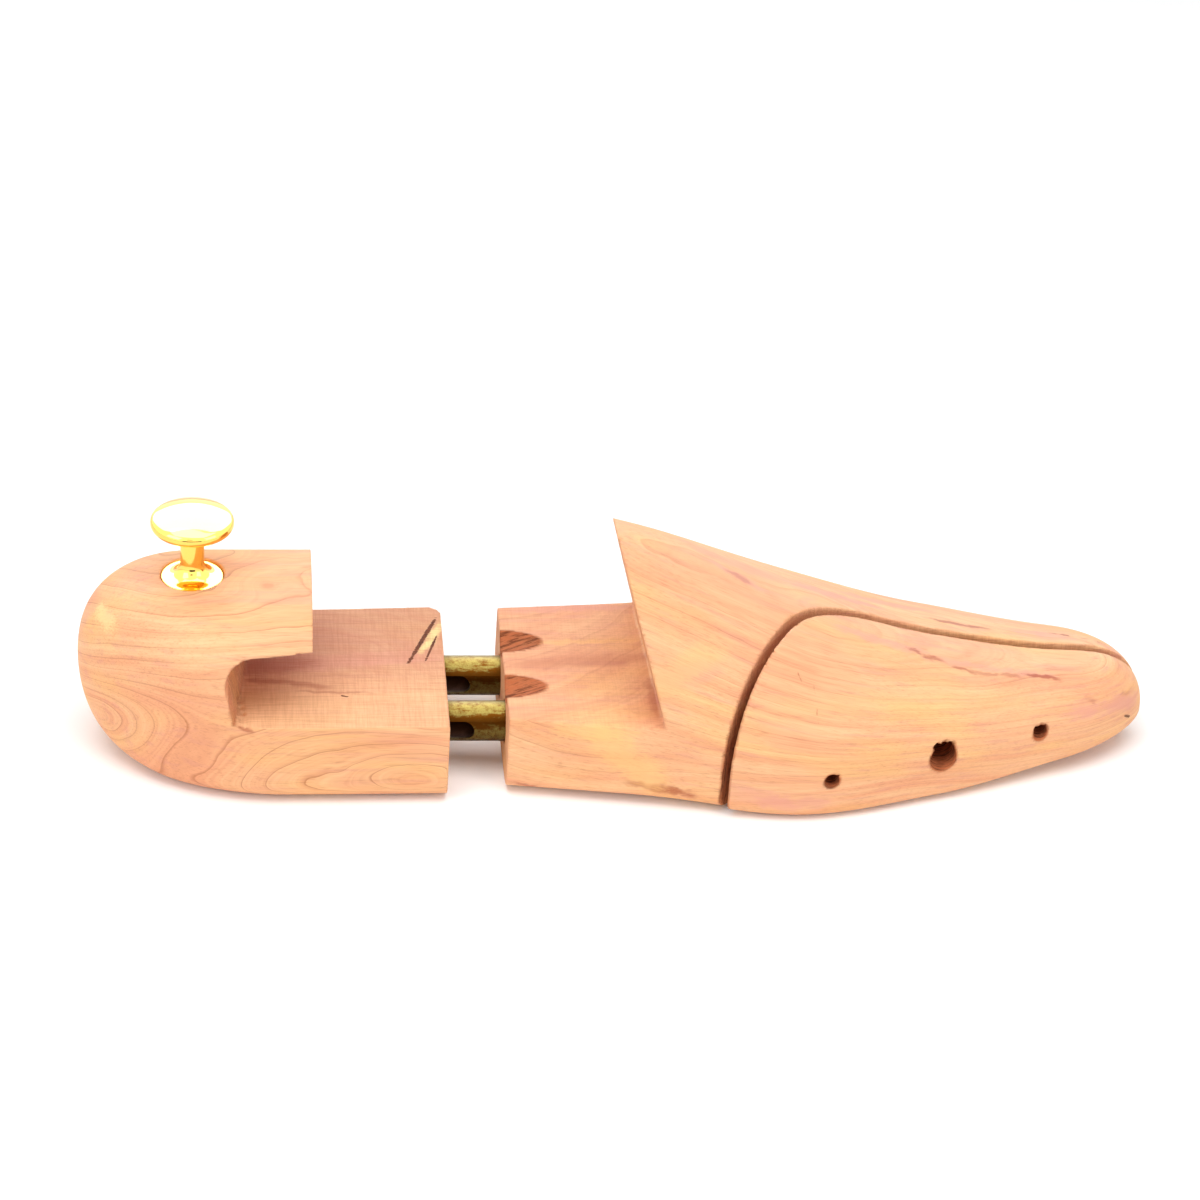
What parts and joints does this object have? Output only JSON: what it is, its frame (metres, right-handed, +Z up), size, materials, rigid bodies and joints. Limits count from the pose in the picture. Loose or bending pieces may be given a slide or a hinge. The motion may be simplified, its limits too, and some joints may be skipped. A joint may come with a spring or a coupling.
{
  "type": "shoe tree",
  "caption": "Right-foot shoe stretcher: carved wooden heel and split forepart joined by sprung, slotted guide tubes, with a turned metal knob.",
  "frame": {"origin": "on the heel block's flat base, under the line midway between the two guide tubes, 46 mm behind the heel block's front face", "axes": "+X along the tubes to the toe, +Y to the inner side of a right foot, +Z up; the heel block is the fixed body and the forepart slides along X"},
  "size_m": [0.295, 0.0806, 0.0728],
  "materials": {
    "heel_wood": "sanded aromatic cedar, raw",
    "fore_wood": "sanded aromatic cedar, raw",
    "side_wood": "sanded aromatic cedar, raw",
    "knob_brass": "polished",
    "tube_brass": "dull, drawn and sanded",
    "screw_brass": "plain",
    "steel": "plain wire and rod"
  },
  "bodies": {
    "heel": {"heel_block": "heel_wood", "knob": "knob_brass", "knob_screw": "steel", "cross_pin": "steel", "heel_spring_inner": "steel", "heel_spring_outer": "steel"},
    "forepart": {"instep_block": "fore_wood", "guide_tube_inner": "tube_brass", "guide_tube_outer": "tube_brass", "guide_pin_rear": "steel", "guide_pin_front": "steel", "toe_spring": "steel", "toe_screw": "screw_brass"},
    "toe_side": {"toe_side_block": "side_wood"}
  },
  "joints": [
    {"name": "heel_slide", "type": "slide", "parent": "heel", "child": "forepart", "axis": [-1, 0, 0], "range_m": [0, 0.015], "stiffness_N_per_m": 800, "springref_m": -0.01, "deforming": ["heel_spring_inner", "heel_spring_outer"]},
    {"name": "toe_slide", "type": "slide", "parent": "forepart", "child": "toe_side", "axis": [0, 1, 0], "range_m": [0, 0.0026], "stiffness_N_per_m": 600, "springref_m": -0.005, "deforming": ["toe_spring"]}
  ]
}
